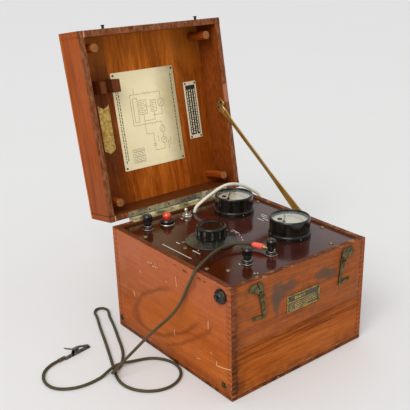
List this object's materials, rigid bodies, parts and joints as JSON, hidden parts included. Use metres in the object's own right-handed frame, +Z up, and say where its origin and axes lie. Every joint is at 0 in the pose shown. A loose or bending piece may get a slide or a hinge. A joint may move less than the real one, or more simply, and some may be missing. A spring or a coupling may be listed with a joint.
{
  "type": "insulation tester",
  "caption": "Portable insulation tester: moving-coil meters, selector, lamp, toggle and terminals on a panel in a finger-jointed wooden case with a hinged lid, test lead and mains lead.",
  "frame": {"origin": "centre of the case's underside", "axes": "+X along the hinge, towards the meters' side; +Y from the front to the hinged back; +Z up"},
  "size_m": [0.57, 0.3924, 0.4499],
  "materials": {
    "case_wood": "worn varnish",
    "lid_board_wood": "worn varnish",
    "peg_wood": "worn varnish",
    "panel_board": "dulled polish",
    "black_moulding": "polished with dust",
    "brown_moulding": "polished",
    "meter_glass": "clear",
    "dial_face": "aged cream paint",
    "steel": "satin",
    "nickel": "worn plating",
    "aged_brass": "tarnished",
    "bright_brass": "polished",
    "lamp_red": "translucent red",
    "red_sleeve": "glossy",
    "black_rubber": "matt",
    "white_flex": "matt",
    "brown_flex": "matt",
    "tie_cloth": "woven",
    "strap_tan": "worn",
    "copper_winding": "varnished cloth",
    "valve_glass": "clear",
    "board_brown": "matt",
    "cream_plate": "aged print",
    "gold_foil": "worn gilt",
    "pointer_black": "matt"
  },
  "bodies": {
    "case": {"base_board": "case_wood", "front_wall": "case_wood", "back_wall": "case_wood", "left_wall": "case_wood", "right_wall": "case_wood", "panel": "panel_board", "panel_screws": "nickel", "meter_rear_case": "black_moulding", "meter_front_case": "black_moulding", "meter_glasses": "meter_glass", "meter_dials": "dial_face", "meter_movements": "steel", "selector_switch": "brown_moulding", "toggle_switch": "nickel", "lamp_holder": "black_moulding", "lamp_lens": "lamp_red", "terminal_bases": "black_moulding", "mains_grommet": "black_rubber", "mains_lead": "white_flex", "mains_coil": "white_flex", "coil_tie": "tie_cloth", "mains_plug": "brown_moulding", "test_plug_sleeve": "red_sleeve", "test_plug_pin": "bright_brass", "test_lead": "brown_flex", "clip_lower_jaw": "steel", "front_nameplate": "aged_brass", "case_screws": "aged_brass", "side_socket": "black_moulding", "hinge_case_leaf": "aged_brass", "hinge_pin": "aged_brass", "stay_foot": "bright_brass", "transformer_core": "steel", "transformer_winding": "copper_winding", "rectifier_valve": "valve_glass", "component_board": "board_brown"},
    "lid": {"lid_front_wall": "case_wood", "lid_back_wall": "case_wood", "lid_left_wall": "case_wood", "lid_right_wall": "case_wood", "lid_board": "lid_board_wood", "lid_pegs": "peg_wood", "stow_block": "case_wood", "diagram_plate": "cream_plate", "small_plate": "black_moulding", "label_plate": "gold_foil", "lid_screws": "aged_brass", "hinge_lid_leaf": "aged_brass", "stay_bracket": "bright_brass", "stay_strap": "strap_tan"},
    "selector_knob": {"selector_knob": "black_moulding"},
    "toggle_lever": {"toggle_lever": "nickel"},
    "pointer_rear": {"pointer_rear": "pointer_black"},
    "pointer_front": {"pointer_front": "pointer_black"},
    "latch_left": {"latch_left": "aged_brass"},
    "latch_right": {"latch_right": "aged_brass"},
    "terminal_cap_rear": {"terminal_cap_rear": "black_moulding"},
    "terminal_cap_left": {"terminal_cap_left": "black_moulding"},
    "terminal_cap_right": {"terminal_cap_right": "black_moulding"},
    "clip_upper_jaw": {"clip_upper_jaw": "steel"}
  },
  "joints": [
    {"name": "lid_hinge", "type": "hinge", "parent": "case", "child": "lid", "pos_m": [0, 0.142, 0.1685], "axis": [1, 0, 0], "range_deg": [0, 100], "deforming": ["stay_strap", "mains_lead", "test_lead"]},
    {"name": "selector_turn", "type": "hinge", "parent": "case", "child": "selector_knob", "pos_m": [-0.044, 0.005, 0.1645], "axis": [0, 0, 1], "range_deg": [-75, 75]},
    {"name": "toggle_throw", "type": "hinge", "parent": "case", "child": "toggle_lever", "pos_m": [-0.014, 0.1045, 0.166], "axis": [1, 0, 0], "range_deg": [0, 24]},
    {"name": "pointer_rear_swing", "type": "hinge", "parent": "case", "child": "pointer_rear", "pos_m": [0.044, 0.0735, 0.1645], "axis": [0, 0, 1], "range_deg": [-90, 0], "stiffness_Nm_per_rad": 0.000002},
    {"name": "pointer_front_swing", "type": "hinge", "parent": "case", "child": "pointer_front", "pos_m": [0.044, -0.0535, 0.1645], "axis": [0, 0, 1], "range_deg": [-90, 0], "stiffness_Nm_per_rad": 0.000002},
    {"name": "latch_left_swing", "type": "hinge", "parent": "case", "child": "latch_left", "pos_m": [-0.0775, -0.141, 0.146], "axis": [0, 1, 0], "range_deg": [0, 158.5]},
    {"name": "latch_right_swing", "type": "hinge", "parent": "case", "child": "latch_right", "pos_m": [0.078, -0.141, 0.146], "axis": [0, 1, 0], "range_deg": [-158.5, 0]},
    {"name": "cap_rear_turn", "type": "hinge", "parent": "case", "child": "terminal_cap_rear", "pos_m": [-0.087, 0.103, 0.1645], "axis": [0, 0, 1], "continuous": true},
    {"name": "cap_left_turn", "type": "hinge", "parent": "case", "child": "terminal_cap_left", "pos_m": [-0.0545, -0.0865, 0.1645], "axis": [0, 0, 1], "continuous": true},
    {"name": "cap_right_turn", "type": "hinge", "parent": "case", "child": "terminal_cap_right", "pos_m": [-0.0105, -0.0865, 0.1645], "axis": [0, 0, 1], "continuous": true},
    {"name": "clip_open", "type": "hinge", "parent": "case", "child": "clip_upper_jaw", "pos_m": [-0.222, 0.108, 0.0056], "axis": [-0.1736, 0.9848, 0], "range_deg": [-18, 0], "stiffness_Nm_per_rad": 0.02}
  ]
}
